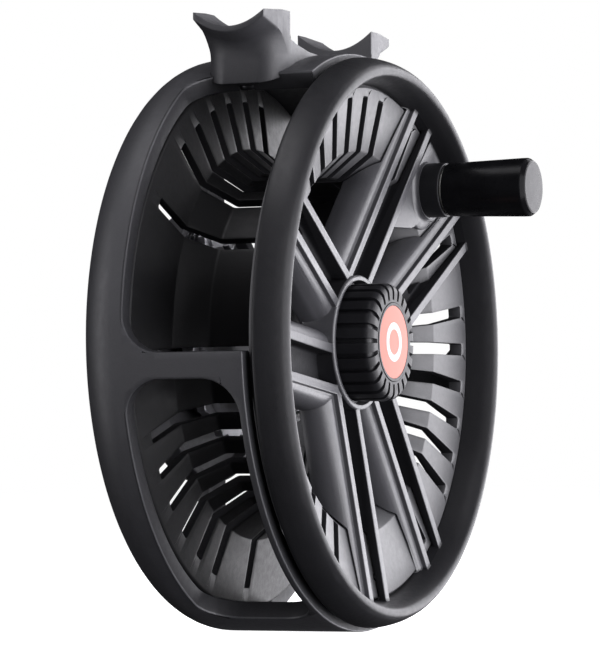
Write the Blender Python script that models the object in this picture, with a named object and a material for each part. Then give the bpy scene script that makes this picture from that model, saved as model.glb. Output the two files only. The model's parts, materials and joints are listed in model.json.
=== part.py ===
"""Fly reel: moulded cage frame, cassette spool, draw-bolt disc drag, click pawl, crank handle.

Sizes are in millimetres. Radii are about the spindle, and depth y runs from the spool rim's
front nose towards the back of the reel. The saved frame has its origin on the foot's seat.
"""
import math

import bmesh
import bpy
from mathutils import Matrix, Vector

MM = 0.001
GAP = 0.3
WELD = 0.002

# Frame of the finished part
FOOT_Y = 19.75
SEAT_Z = 53.0

# Cage
CAGE_R = 50.0
CAGE_IN_R = 46.8
CAGE_FRONT_Y = 7.1
RING_T = 1.3
WINDOW_BACK_Y = 28.85
WINDOW_CORNER = 6.5
SIDE_BAR_TOP_DEG = 3.1
SIDE_BAR_LOW_DEG = 8.2
TOP_BAR_HALF_DEG = 24.7
LOW_BAR_LEFT_DEG = 18.7
LOW_BAR_RIGHT_DEG = 10.5
RIGHT_WINDOW_BACK_Y = 30.5
SHOULDER_Y = 31.0
SHOULDER_IN_R = 43.6
BACK_Y = 37.9
PORT_FRONT_Y = 34.2
ARM_FRONT_Y = 34.8
ARM_BACK_Y = 37.2
ARM_W = 7.0
ARM_COUNT = 6
PORT_R = 42.3
HUB_PLATE_Y = 37.1
HUB_PLATE_BACK_Y = 39.6
HUB_PLATE_R = 24.0
HUB_LIP_R = 22.3

# Foot
FOOT_HALF_W = 7.2
TOE_TIP_X = 27.5
TOE_TAPER = 0.6
TOE_TIP_THICK = 1.0
TOE_SLOPE = 0.39
TOE_IN_X = 17.6
POST_X = 22.3
POST_CORNER = 4.2
POST_FLARE = 2.0
FLARE_DROP = 3.2
WING_RISE = 3.2
SEAT_R = 49.0
WEB_Z = ((0.0, 49.9), (6.0, 49.7), (10.0, 49.95), (14.0, 50.6), (17.6, 51.4))

# Spool core: rim, spokes and hub
RIM_R = 49.3
RIM_BACK_Y = 5.8
PAIR_DEG = (46.0, 166.0, 286.0)
SPLAY_DEG = 10.0
SPOKE_OFFSET = 5.5
FLANK_W = 2.8
FLANK_D = 4.4
RIB_IN_W = 2.6
RIB_OUT_W = 4.2
RIB_RISE = 0.9
RIB_Y25 = 5.95
RIB_SLOPE = -0.12
HUB_R = 11.75
HUB_TUBE_R = 9.5
COLLAR_Y = 7.35
HUB_FRONT_Y = 9.6
HUB_BACK_Y = 26.3

# Line cassette
SLOT_W = 2.1
SLOT_STEP = 120.0 / 13.0
SLOT_PLACES = (2, 4, 5, 6, 7, 8, 9, 11)
SLOT_IN_R = 26.0
SLOT_OUT_R = 42.6
SCREW_ALONG = 40.6

# Spindle and drag
SPINDLE_R = 3.0
DRUM_OUT_R = 13.8
DRUM_IN_R = 12.4
DRUM_BASE_Y = 34.0
GEAR_TEETH = 36
GEAR_TIP_R = 16.6
GEAR_ROOT_R = 15.9
PAWL_PIVOT = (-9.0, 17.9)

# Cap, knob and handle
CAP_R = 10.2
CAP_FRONT_Y = 1.2
CAP_BACK_Y = 8.4
KNOB_R = 13.0
GRIP_GROOVES = 24
HANDLE_R = 37.5
HANDLE_DEG = 48.0
BOSS_R = 4.85
BOSS_FRONT_Y = 1.6
PLATE_OUTLINE = ((13.0, 20.8), (21.0, 20.9), (25.1, 22.6), (29.3, 22.6), (36.0, 27.3),
                 (31.4, 32.5), (26.0, 37.0))
GRIP_END_Y = -15.4
GRIP_BASE_Y = 0.65
GRIP_R0 = 4.74
GRIP_R1 = 5.19

BIG_SEG = 48
SEG = 28
SMALL_SEG = 20


def polar(radius, degrees):
    angle = math.radians(degrees)
    return radius * math.cos(angle), radius * math.sin(angle)


def place(x, y, z):
    """Point in the finished frame, still in millimetres."""
    return Vector((x, y - FOOT_Y, z - SEAT_Z))


def clear_scene():
    for item in list(bpy.data.objects):
        bpy.data.objects.remove(item, do_unlink=True)


def material(name, colour, rough, metal=0.0):
    made = bpy.data.materials.get(name)
    if made:
        return made
    made = bpy.data.materials.new(name)
    made.use_nodes = True
    shader = made.node_tree.nodes["Principled BSDF"]
    shader.inputs["Base Color"].default_value = (*colour, 1.0)
    shader.inputs["Roughness"].default_value = rough
    shader.inputs["Metallic"].default_value = metal
    made.diffuse_color = (*colour, 1.0)
    return made


def add_object(name, verts, faces):
    mesh = bpy.data.meshes.new(name)
    mesh.from_pydata([place(*v) for v in verts], [], faces)
    work = bmesh.new()
    work.from_mesh(mesh)
    bmesh.ops.remove_doubles(work, verts=work.verts, dist=WELD)
    bmesh.ops.recalc_face_normals(work, faces=work.faces)
    work.to_mesh(mesh)
    work.free()
    made = bpy.data.objects.new(name, mesh)
    bpy.context.scene.collection.objects.link(made)
    return made


def lathe(name, profile, centre=(0.0, 0.0), seg=SEG):
    """Turn a closed (radius, y) loop about an axis along Y through centre."""
    verts, rows = [], []
    for r, y in profile:
        if r < 1e-6:
            rows.append([len(verts)] * seg)
            verts.append((centre[0], y, centre[1]))
            continue
        row = []
        for k in range(seg):
            px, pz = polar(r, 360.0 * k / seg)
            row.append(len(verts))
            verts.append((centre[0] + px, y, centre[1] + pz))
        rows.append(row)
    faces = []
    for i, row in enumerate(rows):
        nxt = rows[(i + 1) % len(rows)]
        if row[0] == row[1] and nxt[0] == nxt[1]:
            continue
        for k in range(seg):
            j = (k + 1) % seg
            quad = []
            for index in (row[k], row[j], nxt[j], nxt[k]):
                if index not in quad:
                    quad.append(index)
            faces.append(quad)
    return add_object(name, verts, faces)


def ring(name, r_in, r_out, y0, y1, centre=(0.0, 0.0), seg=SEG):
    return lathe(name, [(r_in, y0), (r_out, y0), (r_out, y1), (r_in, y1)], centre, seg)


def rod(name, r, y0, y1, centre=(0.0, 0.0), seg=SMALL_SEG, chamfer=0.0):
    c = chamfer
    if c:
        loop = [(0, y0), (r - c, y0), (r, y0 + c), (r, y1 - c), (r - c, y1), (0, y1)]
    else:
        loop = [(0, y0), (r, y0), (r, y1), (0, y1)]
    return lathe(name, loop, centre, seg)


def stations(name, loops):
    """Skin a row of equal point loops and close both ends."""
    count = len(loops[0])
    verts = [p for loop in loops for p in loop]
    faces = [list(range(count)), list(range(len(verts) - count, len(verts)))]
    for i in range(len(loops) - 1):
        for k in range(count):
            j = (k + 1) % count
            a, b = i * count, (i + 1) * count
            faces.append([a + k, a + j, b + j, b + k])
    return add_object(name, verts, faces)


def slab(name, outline, y0, y1):
    """Extrude an (x, z) outline along Y."""
    return stations(name, [[(x, y, z) for x, z in outline] for y in (y0, y1)])


def radial_box(name, degrees, r0, r1, width, y0, y1):
    half = width / 2.0
    outline = []
    for along, side in ((r0, -half), (r1, -half), (r1, half), (r0, half)):
        ax, az = polar(along, degrees)
        sx, sz = polar(side, degrees + 90.0)
        outline.append((ax + sx, az + sz))
    return slab(name, outline, y0, y1)


def wrapped_pad(name, deg0, deg1, y0, y1, r0, r1, low_corner, high_corner, steps=12):
    """Curved pad on a cylinder, with rounded corners towards y0 and y1."""
    mid_r = CAGE_R
    span = math.radians(deg1 - deg0) * mid_r
    cuts = sorted({0.0, span} | {span * k / steps for k in range(steps + 1)} | {
        edge for corner in (low_corner, high_corner) if corner
        for k in range(1, 5)
        for edge in (corner * (1 - math.cos(k * math.pi / 8)),
                     span - corner * (1 - math.cos(k * math.pi / 8)))})
    loops = []
    for s in cuts:
        near = min(s, span - s)
        low = y0
        high = y1
        if low_corner and near < low_corner:
            low += low_corner - math.sqrt(max(0.0, low_corner ** 2 - (low_corner - near) ** 2))
        if high_corner and near < high_corner:
            high -= high_corner - math.sqrt(max(0.0, high_corner ** 2 - (high_corner - near) ** 2))
        deg = deg0 + math.degrees(s / mid_r)
        ix, iz = polar(r0, deg)
        ox, oz = polar(r1, deg)
        loops.append([(ix, low, iz), (ox, low, oz), (ox, high, oz), (ix, high, iz)])
    return stations(name, loops)


def cut(target, tool, how="DIFFERENCE", solver="EXACT"):
    """Apply one Boolean and drop the tool."""
    tool.hide_render = True
    tool.display_type = "WIRE"
    step = target.modifiers.new(how.title(), "BOOLEAN")
    step.operation = how
    step.solver = solver
    step.object = tool
    graph = bpy.context.evaluated_depsgraph_get()
    baked = bpy.data.meshes.new_from_object(target.evaluated_get(graph))
    target.modifiers.clear()
    target.data = baked
    bpy.data.objects.remove(tool, do_unlink=True)
    return target


def tidy(target):
    work = bmesh.new()
    work.from_mesh(target.data)
    bmesh.ops.remove_doubles(work, verts=work.verts, dist=WELD)
    bmesh.ops.dissolve_degenerate(work, edges=work.edges, dist=WELD)
    many = [f for f in work.faces if len(f.verts) > 4]
    bmesh.ops.triangulate(work, faces=many, ngon_method="EAR_CLIP")
    bmesh.ops.recalc_face_normals(work, faces=work.faces)
    work.to_mesh(target.data)
    work.free()


def finish(target, slot, pivot=None, sharp=35.0):
    """Give an object its material, smooth shading and the origin of its joint."""
    target.data.materials.clear()
    target.data.materials.append(slot)
    target.data.shade_smooth()
    target.data.set_sharp_from_angle(angle=math.radians(sharp))
    origin = place(*pivot) if pivot is not None else Vector((0.0, 0.0, 0.0))
    target.data.transform(Matrix.Scale(MM, 4) @ Matrix.Translation(-origin))
    target.location = origin * MM
    return target


def turned_rod(name, degrees, r0, r1, radius, y, seg=16):
    """Straight round pin lying along a radius of the reel."""
    ux, uz = polar(1.0, degrees)
    loops = []
    for along in (r0, r1):
        loop = []
        for k in range(seg):
            a = 2 * math.pi * k / seg
            side = radius * math.cos(a)
            loop.append((ux * along - uz * side, y + radius * math.sin(a), uz * along + ux * side))
        loops.append(loop)
    return stations(name, loops)


# --- cage ---------------------------------------------------------------------------------

def cage():
    shoulder = []
    for k in range(5):
        out, back = polar(1.0, 22.5 * k)
        shoulder.append((SHOULDER_IN_R + (CAGE_R - SHOULDER_IN_R) * out,
                         SHOULDER_Y + (BACK_Y - SHOULDER_Y) * back))
    shell = lathe("frame_cage", [
        (CAGE_R, CAGE_FRONT_Y), *shoulder, (PORT_R, BACK_Y), (PORT_R, PORT_FRONT_Y),
        (45.6, PORT_FRONT_Y), (CAGE_IN_R, 33.0), (CAGE_IN_R, CAGE_FRONT_Y)], seg=BIG_SEG)
    hub = lathe("hub", [
        (SPINDLE_R + GAP, HUB_PLATE_Y), (HUB_LIP_R, HUB_PLATE_Y), (HUB_LIP_R, ARM_FRONT_Y),
        (HUB_PLATE_R, ARM_FRONT_Y), (HUB_PLATE_R, HUB_PLATE_BACK_Y - 0.7),
        (HUB_PLATE_R - 0.7, HUB_PLATE_BACK_Y), (SPINDLE_R + GAP, HUB_PLATE_BACK_Y)])
    cut(shell, hub, "UNION", "MANIFOLD")
    for k in range(ARM_COUNT):
        arm = radial_box("arm", 30.0 + 60.0 * k, 22.7, 44.0, ARM_W, ARM_FRONT_Y, ARM_BACK_Y)
        cut(shell, arm, "UNION", "MANIFOLD")
    front_y = CAGE_FRONT_Y + RING_T
    round_four = (44.0, 53.0, WINDOW_CORNER, WINDOW_CORNER)
    tools = [
        wrapped_pad("window", 90 + TOP_BAR_HALF_DEG, 180 + SIDE_BAR_TOP_DEG, 5.0, WINDOW_BACK_Y,
                    44.0, 53.0, 0.0, WINDOW_CORNER),
        wrapped_pad("window", 180 + SIDE_BAR_LOW_DEG, 270 - LOW_BAR_LEFT_DEG, front_y,
                    WINDOW_BACK_Y, *round_four),
        wrapped_pad("window", 270 + LOW_BAR_RIGHT_DEG, 360 - SIDE_BAR_LOW_DEG, front_y,
                    RIGHT_WINDOW_BACK_Y, *round_four),
        wrapped_pad("window", -SIDE_BAR_TOP_DEG, 90 - TOP_BAR_HALF_DEG, front_y,
                    WINDOW_BACK_Y, *round_four),
        foot_seat(),
        rod("pin_hole", 1.2, 36.0, 38.4, PAWL_PIVOT)]
    for deg in (67.5, 112.5):
        tools.append(turned_rod("bolt_hole", deg, 44.0, 50.0, 1.3, FOOT_Y))
        tools.append(turned_rod("head_seat", deg, 44.0, 47.9, 2.3, FOOT_Y, seg=24))
    for tool in tools:
        cut(shell, tool, "DIFFERENCE", "MANIFOLD")
    tidy(shell)
    return shell


def foot_seat():
    """What the foot takes out of the cage: its own outline, down to the seat's radius."""
    half_x, half_y, corner = POST_X + GAP, FOOT_HALF_W + GAP, POST_CORNER + GAP
    outline = []
    for quarter, (sx, sy) in enumerate(((1, 1), (-1, 1), (-1, -1), (1, -1))):
        for k in range(5):
            ax, ay = polar(corner, 90.0 * quarter + 22.5 * k)
            outline.append((sx * (half_x - corner) + ax, sy * (half_y - corner) + ay))
    block = stations("seat", [[(x, FOOT_Y + y, z) for x, y in outline] for z in (40.0, 55.0)])
    return cut(block, rod("seat_floor", SEAT_R - GAP, 0.0, 36.0, seg=96), "DIFFERENCE", "MANIFOLD")


def post_half_width(a):
    """Half width of the post at distance a from the middle, with rounded corners."""
    inset = max(0.0, POST_CORNER - (POST_X - a))
    return FOOT_HALF_W - POST_CORNER + math.sqrt(max(0.0, POST_CORNER ** 2 - inset ** 2))


def wing_under(a, side):
    """Height of a wing's underside, with the flare that runs into the post."""
    top = SEAT_Z + WING_RISE * (side / FOOT_HALF_W) ** 2
    thick = TOE_TIP_THICK + TOE_SLOPE * (TOE_TIP_X - a) + 0.35 * (side / FOOT_HALF_W) ** 2
    dx = max(0.0, a - POST_X + POST_CORNER)
    dy = max(0.0, side - FOOT_HALF_W + POST_CORNER)
    gap = math.hypot(dx, dy) - POST_CORNER
    near = min(1.0, max(0.0, 1.0 - gap / POST_FLARE))
    return top - thick - FLARE_DROP * (1.0 - math.sqrt(1.0 - near ** 2))


def web_top(a):
    for (a0, z0), (a1, z1) in zip(WEB_Z, WEB_Z[1:]):
        if a <= a1:
            return z0 + (z1 - z0) * (a - a0) / (a1 - a0)
    return WEB_Z[-1][1]


def foot_section(x, top_steps=4, side_steps=3):
    """Closed (x, y, z) loop of the foot at one place along the rod."""
    a = abs(x)
    step = 0.02
    wing = FOOT_HALF_W - TOE_TAPER * max(0.0, (a - 21.0) / (TOE_TIP_X - 21.0))
    post = post_half_width(min(a, POST_X))
    floor = math.sqrt(SEAT_R ** 2 - a ** 2)
    half = []
    for k in range(top_steps + 1):
        side = wing * k / top_steps
        rise = WING_RISE * (side / FOOT_HALF_W) ** 2
        half.append((side, SEAT_Z + rise if a > TOE_IN_X - step / 2 else web_top(a)))
    for k in range(side_steps + 1):
        part = k / side_steps
        side = wing + (post - wing) * part
        if a < TOE_IN_X - step / 2:
            half.append((wing, web_top(a) + (floor - web_top(a)) * (part + 1) / 2))
        elif wing - post > 0.01 or a > POST_X:
            half.append((side, wing_under(a, side)))
        else:
            low = SEAT_Z + WING_RISE - 4.0
            half.append((wing, low + (floor - low) * part))
    for part in (1.0, 0.5, 0.0):
        half.append((post * part, floor if a <= POST_X else wing_under(a, post * part)))
    right = half[1:-1]
    loop = [half[0]] + right + [half[-1]] + [(-side, z) for side, z in reversed(right)]
    return [(x, FOOT_Y + side, z) for side, z in loop]


def foot():
    step = 0.02
    halves = [TOE_TIP_X, 25.9, 24.3, 23.3, 22.7, POST_X + step, POST_X, 22.0, 21.2, 19.9,
              POST_X - POST_CORNER, TOE_IN_X, TOE_IN_X - step, 14.0, 10.0, 6.0, 0.0]
    xs = [-a for a in halves] + [a for a in reversed(halves[:-1])]
    body = stations("reel_foot", [foot_section(x) for x in xs])
    for deg in (67.5, 112.5):
        cut(body, turned_rod("bolt_hole", deg, 46.0, 53.2, 1.3, FOOT_Y), "DIFFERENCE", "MANIFOLD")
    tidy(body)
    return body


def foot_screw(name, deg):
    head = turned_rod(name, deg, 47.0, 47.8, 2.0, FOOT_Y, seg=20)
    cut(head, turned_rod("shank", deg, 47.5, 52.8, 1.0, FOOT_Y), "UNION")
    cut(head, turned_rod("socket", deg, 46.0, 47.4, 0.9, FOOT_Y, seg=6))
    tidy(head)
    return head


# --- spool --------------------------------------------------------------------------------

def spoke_section(along):
    """Half section points (offset, y) of one spoke at a distance along it."""
    y = RIB_Y25 + RIB_SLOPE * (along - 25.0)
    shoulder = y + RIB_RISE
    pts = []
    for k in range(4):
        a = math.radians(22.5 * k)
        pts.append((RIB_OUT_W + FLANK_W * math.cos(a), shoulder + FLANK_D * (1 - math.sin(a))))
    pts += [(RIB_OUT_W, shoulder), (RIB_OUT_W, y), (RIB_IN_W, y), (RIB_IN_W, y + 3.2)]
    return pts


def spoke(pair_deg, side):
    ux, uz = polar(1.0, pair_deg + side * SPLAY_DEG)
    nx, nz = -uz, ux
    loops = []
    for along in (7.0, 44.9):
        half = spoke_section(along)
        back = half[0][1] + 1.2
        loop = [(half[0][0], back)] + half + [(-o, d) for o, d in reversed(half)]
        loop.append((-half[0][0], back))
        loops.append([(ux * along + nx * (side * SPOKE_OFFSET + o), d,
                       uz * along + nz * (side * SPOKE_OFFSET + o)) for o, d in loop])
    return stations("spoke", loops)


def screw_spot(pair_deg):
    """Where a cassette screw enters the back of a rib, as (x, z)."""
    deg = pair_deg - SPLAY_DEG
    ax, az = polar(SCREW_ALONG, deg)
    sx, sz = polar((RIB_IN_W + RIB_OUT_W) / 2.0 - SPOKE_OFFSET, deg + 90.0)
    return ax + sx, az + sz


def channel_window(pair_deg, side):
    """Opening through the outer half of a spoke's channel."""
    ux, uz = polar(1.0, pair_deg + side * SPLAY_DEG)
    nx, nz = -uz, ux
    outline = []
    for along, o in ((26.5, -2.2), (42.5, -2.2), (42.5, 2.2), (26.5, 2.2)):
        across = side * SPOKE_OFFSET + o
        outline.append((ux * along + nx * across, uz * along + nz * across))
    return slab("channel_window", outline, 0.0, 20.0)


def handle_plate():
    """Bridge between the handle's two spokes, level with their shoulders."""
    ux, uz = polar(1.0, PAIR_DEG[0])
    front = []
    for x, z in PLATE_OUTLINE:
        along = x * ux + z * uz
        front.append((x, RIB_Y25 + RIB_RISE + RIB_SLOPE * (along - 25.0), z))
    return stations("handle_plate", [front, [(x, 7.9, z) for x, _, z in front]])


def spool_core():
    """Rim, hub and six spokes in pairs, with the handle's plate and boss between one pair."""
    body = lathe("spool_core", [
        (RIM_R, RIM_BACK_Y), (RIM_R, 4.2), (48.8, 1.9), (47.7, 0.4), (46.6, 0.0), (45.5, 0.8),
        (44.9, 3.0), (44.6, RIM_BACK_Y)], seg=BIG_SEG)
    hub = lathe("hub", [
        (4.0, COLLAR_Y), (HUB_R - 0.5, COLLAR_Y), (HUB_R, COLLAR_Y + 0.5), (HUB_R, 13.5),
        (HUB_TUBE_R, 15.0), (HUB_TUBE_R, HUB_BACK_Y), (4.0, HUB_BACK_Y)])
    hx, hz = polar(HANDLE_R, HANDLE_DEG)
    cut(body, hub, "UNION", "MANIFOLD")
    cut(body, rod("boss", BOSS_R, BOSS_FRONT_Y, 8.3, (hx, hz)), "UNION", "MANIFOLD")
    for pair in PAIR_DEG:
        for side in (1, -1):
            cut(body, spoke(pair, side), "UNION", "MANIFOLD")
    cut(body, handle_plate(), "UNION", "MANIFOLD")
    tools = [
        lathe("bore", [(0.0, -1.0), (CAP_R + 0.6, -1.0), (CAP_R + 0.6, HUB_FRONT_Y),
                       (5.6, HUB_FRONT_Y), (5.6, 15.0), (6.5, 15.0), (6.5, 30.0), (0.0, 30.0)]),
        lathe("keep_out", [(27.0, 12.4), (28.5, 12.6), (33.0, 6.8), (44.45, 4.9),
                           (44.5, RIM_BACK_Y), (47.5, RIM_BACK_Y), (47.5, 26.0), (27.0, 26.0)],
              seg=BIG_SEG),
        rod("post_hole", 2.1, 0.0, 12.0, (hx, hz))]
    for pair in PAIR_DEG:
        tools += [channel_window(pair, side) for side in (1, -1)]
        tools.append(rod("screw_hole", 0.6, 4.5, 9.0, screw_spot(pair), seg=16))
    for tool in tools:
        cut(body, tool, "DIFFERENCE", "MANIFOLD")
    tidy(body)
    return body


def cassette():
    body = lathe("line_cassette", [
        (46.2, 6.1), (44.2, 6.1), (44.2, 5.2), (33.2, 7.1), (28.7, 12.8), (28.7, 22.8),
        (33.6, 28.6), (46.3, 30.6), (46.3, 29.1), (34.2, 27.1), (30.2, 22.2), (30.2, 13.4),
        (34.0, 8.6), (46.2, 7.6)], seg=BIG_SEG)
    for pair in PAIR_DEG:
        for k in SLOT_PLACES:
            deg = pair + SLOT_STEP * k
            cut(body, radial_box("slot", deg, SLOT_IN_R, SLOT_OUT_R, SLOT_W, 3.0, 32.0))
        cut(body, rod("screw_hole", 0.8, 4.0, 9.0, screw_spot(pair), seg=16))
    cut(body, rod("post_room", 3.6, 4.0, 10.0, polar(HANDLE_R, HANDLE_DEG), seg=24))
    tidy(body)
    return body


def wall_screw(name, centre):
    return lathe(name, [(0, 4.8), (0.5, 4.8), (0.5, 8.5), (1.2, 8.5), (1.2, 9.2), (0.6, 9.2),
                        (0.6, 8.9), (0, 8.9)], centre, 16)


def grooved(name, profile, groove, width):
    """Lathe with grooves of one (radius, y) outline milled all round it."""
    body = lathe(name, profile, seg=48)
    for k in range(GRIP_GROOVES):
        deg = 360.0 * (k + 0.5) / GRIP_GROOVES
        sx, sz = polar(width / 2.0, deg + 90.0)
        loops = []
        for sign in (-1, 1):
            loop = []
            for r, y in groove:
                ax, az = polar(r, deg)
                loop.append((ax + sign * sx, y, az + sign * sz))
            loops.append(loop)
        cut(body, stations("groove", loops))
    tidy(body)
    return body


def cap():
    return grooved("spool_cap", [
        (6.9, 1.8), (6.9, CAP_FRONT_Y), (8.9, CAP_FRONT_Y), (9.8, 1.7), (CAP_R, 2.9),
        (CAP_R, CAP_BACK_Y), (5.2, CAP_BACK_Y), (5.2, 13.4), (3.5, 13.4), (3.5, 8.0),
        (0.0, 8.0), (0.0, 1.8)],
        [(7.9, 0.5), (11.5, 0.5), (11.5, 7.0), (CAP_R - 0.6, 7.0), (CAP_R - 0.6, 1.75), (7.9, 1.75)],
        0.8)


def drag_knob():
    return grooved("drag_knob", [
        (SPINDLE_R + GAP, 41.0), (KNOB_R - 0.5, 41.0), (KNOB_R, 41.6), (KNOB_R, 47.6),
        (KNOB_R - 0.5, 48.5), (KNOB_R - 1.6, 49.0), (5.4, 49.0), (5.4, 48.0), (0.0, 48.0),
        (0.0, 46.4), (SPINDLE_R + GAP, 46.4)],
        [(KNOB_R - 0.7, 42.4), (KNOB_R + 2.0, 42.4), (KNOB_R + 2.0, 50.0), (KNOB_R - 0.7, 50.0)],
        1.3)


def click_gear():
    outline = []
    for k in range(GEAR_TEETH):
        deg = 90.0 + 360.0 * k / GEAR_TEETH
        outline.append(polar(GEAR_ROOT_R, deg))
        outline.append(polar(GEAR_TIP_R, deg + 180.0 / GEAR_TEETH))
    body = slab("click_gear", outline, 31.6, 33.2)
    cut(body, rod("bore", DRUM_OUT_R + GAP, 30.0, 35.0, seg=SEG))
    tidy(body)
    return body


def click_pawl():
    px, pz = PAWL_PIVOT
    tip_z = GEAR_ROOT_R + 0.35
    outline = [(px - 1.2, pz - 2.0), (px + 2.0, pz - 1.1), (-1.6, tip_z + 1.25),
               (-0.5, tip_z + 0.45), (0.0, tip_z), (0.5, tip_z + 0.45), (1.1, tip_z + 1.4),
               (1.1, tip_z + 2.6), (-1.0, pz + 1.7), (px + 1.4, pz + 2.2), (px - 1.6, pz + 2.2),
               (px - 2.6, pz + 0.6), (px - 2.4, pz - 1.2)]
    body = slab("click_pawl", outline, 31.7, 33.1)
    cut(body, rod("bore", 0.98, 30.0, 35.0, PAWL_PIVOT, seg=24))
    tidy(body)
    return body


def click_spring():
    """Hairpin coil round the pawl pin with one leg lying on the pawl's back."""
    px, pz = PAWL_PIVOT
    path = [(px + 8.6, 34.1, pz + 1.75), (px + 3.0, 34.1, pz + 1.7)]
    for k in range(0, 31):
        a = math.radians(90.0 + 360.0 * k / 12)
        path.append((px + 1.7 * math.cos(a), 34.1 + 0.75 * k / 12, pz + 1.7 * math.sin(a)))
    path.append((px - 4.6, 36.0, pz - 1.7))
    loops = []
    wire = 0.25
    for i, point in enumerate(path):
        before = Vector(path[max(i - 1, 0)])
        after = Vector(path[min(i + 1, len(path) - 1)])
        along = (after - before).normalized()
        side = along.cross(Vector((0, 1, 0))).normalized()
        up = side.cross(along)
        loops.append([tuple(Vector(point) + side * wire * math.cos(a) + up * wire * math.sin(a))
                      for a in (math.radians(60 * n) for n in range(6))])
    made = stations("click_spring", loops)
    tidy(made)
    return made


def handle_grip():
    return lathe("handle_grip", [
        (2.1, GRIP_BASE_Y), (GRIP_R0 - 0.4, GRIP_BASE_Y), (GRIP_R0, GRIP_BASE_Y - 0.4), (GRIP_R1, -13.9),
        (GRIP_R1 - 0.3, -14.8), (GRIP_R1 - 1.0, GRIP_END_Y), (0.0, GRIP_END_Y), (0.0, -14.0),
        (3.0, -14.0), (3.0, -11.6), (2.1, -11.6)], polar(HANDLE_R, HANDLE_DEG), 36)


def handle_post():
    return lathe("handle_post", [
        (0.0, -13.6), (2.6, -13.6), (2.6, -11.9), (1.8, -11.9), (1.8, 6.95), (3.2, 6.95),
        (3.2, 7.95), (1.0, 7.95), (1.0, 7.4), (0.0, 7.4)], polar(HANDLE_R, HANDLE_DEG), 24)


def spindle():
    return lathe("spindle", [
        (0.0, 10.2), (SPINDLE_R - 0.5, 10.2), (SPINDLE_R, 10.7), (SPINDLE_R, 14.0),
        (2.5, 14.0), (2.5, 14.9), (SPINDLE_R, 14.9), (SPINDLE_R, 27.0), (8.5, 27.0),
        (8.5, 28.4), (SPINDLE_R, 28.4), (SPINDLE_R, 45.2), (SPINDLE_R - 0.5, 45.7),
        (0.0, 45.7)], seg=SEG)


def retaining_clip():
    body = ring("retaining_clip", 2.7, 4.8, 14.2, 14.7, seg=36)
    cut(body, slab("mouth", [(-1.6, 0.0), (1.6, 0.0), (1.6, -6.0), (-1.6, -6.0)], 13.0, 16.0))
    tidy(body)
    return body


def build():
    clear_scene()
    shell = material("charcoal_composite", (0.030, 0.030, 0.033), 0.55)
    core = material("charcoal_spool", (0.045, 0.045, 0.049), 0.50)
    cass = material("black_cassette", (0.040, 0.040, 0.044), 0.58)
    gloss = material("gloss_black", (0.010, 0.010, 0.011), 0.18)
    knob_black = material("knob_black", (0.016, 0.016, 0.018), 0.38)
    steel = material("bright_steel", (0.62, 0.62, 0.64), 0.28, 1.0)
    dark_steel = material("black_screw_steel", (0.09, 0.09, 0.095), 0.35, 1.0)
    bronze = material("sintered_bronze", (0.55, 0.38, 0.20), 0.42, 1.0)
    carbon = material("woven_carbon_washer", (0.035, 0.035, 0.038), 0.65)
    alloy = material("plain_alloy", (0.70, 0.71, 0.72), 0.36, 1.0)
    salmon = material("salmon_enamel", (0.92, 0.52, 0.42), 0.35)
    nylon = material("white_nylon", (0.80, 0.79, 0.75), 0.50)
    rubber = material("black_rubber", (0.02, 0.02, 0.02), 0.80)

    axis = (0.0, 0.0, 0.0)
    handle_at = polar(HANDLE_R, HANDLE_DEG)

    finish(cage(), shell)
    finish(foot(), shell)
    finish(foot_screw("foot_screw_left", 112.5), dark_steel)
    finish(foot_screw("foot_screw_right", 67.5), dark_steel)
    finish(ring("friction_washer_rear", 5.0, 12.8, 36.0, 36.8), carbon)
    finish(ring("knob_thrust_washer", 3.4, 9.0, 39.9, 40.6), nylon)
    finish(rod("pawl_pin", 0.9, 31.2, 38.2, PAWL_PIVOT, 24, 0.15), steel)

    finish(spindle(), steel, axis)
    finish(retaining_clip(), dark_steel, axis)
    finish(ring("disc_spring_front", 3.4, 8.3, 28.7, 29.4), steel, axis)
    finish(ring("disc_spring_back", 3.4, 8.3, 29.8, 30.5), steel, axis)
    finish(ring("pressure_plate", 3.4, 11.8, 30.9, 32.1), alloy, axis)
    finish(ring("friction_washer_front", 5.0, 11.8, 32.5, 33.4), carbon, axis)

    finish(spool_core(), core, axis)
    finish(cassette(), cass, axis)
    for number, pair in enumerate(PAIR_DEG, 1):
        finish(wall_screw(f"cassette_screw_{number}", screw_spot(pair)), dark_steel, axis)
    finish(ring("bush_front", 3.08, 6.2, 15.3, 20.0), bronze, axis)
    finish(ring("bush_back", 3.08, 6.2, 20.9, 25.6), bronze, axis)
    finish(ring("one_way_clutch", HUB_TUBE_R + GAP, DRUM_IN_R - GAP, 20.6, 26.2), steel, axis)
    finish(lathe("drag_drum", [
        (3.5, DRUM_BASE_Y), (DRUM_IN_R, DRUM_BASE_Y), (DRUM_IN_R, 20.4), (DRUM_OUT_R, 20.4),
        (DRUM_OUT_R, 35.2), (3.5, 35.2)]), alloy, axis)
    finish(click_gear(), steel, axis)

    hx, hz = handle_at
    finish(handle_post(), steel, (hx, 0.0, hz))
    finish(ring("handle_washer", 2.1, 4.0, 0.95, 1.3, handle_at, 24), nylon, (hx, 0.0, hz))
    finish(handle_grip(), gloss, (hx, 0.0, hz))

    finish(ring("cap_washer", 5.7, 9.6, 8.7, 9.3), rubber, axis)
    finish(cap(), knob_black, axis)
    finish(lathe("cap_badge", [(0.0, 1.15), (6.4, 1.15), (6.55, 1.25), (6.55, 1.5), (0.0, 1.5)]),
           salmon, axis)

    finish(drag_knob(), knob_black, axis)
    finish(lathe("knob_plug", [(0.0, 48.3), (5.1, 48.3), (5.1, 49.1), (4.8, 49.3), (0.0, 49.3)]),
           alloy, axis)

    px, pz = PAWL_PIVOT
    finish(click_pawl(), steel, (px, 0.0, pz))
    finish(click_spring(), steel, (px, 0.0, pz))


build()
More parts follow.
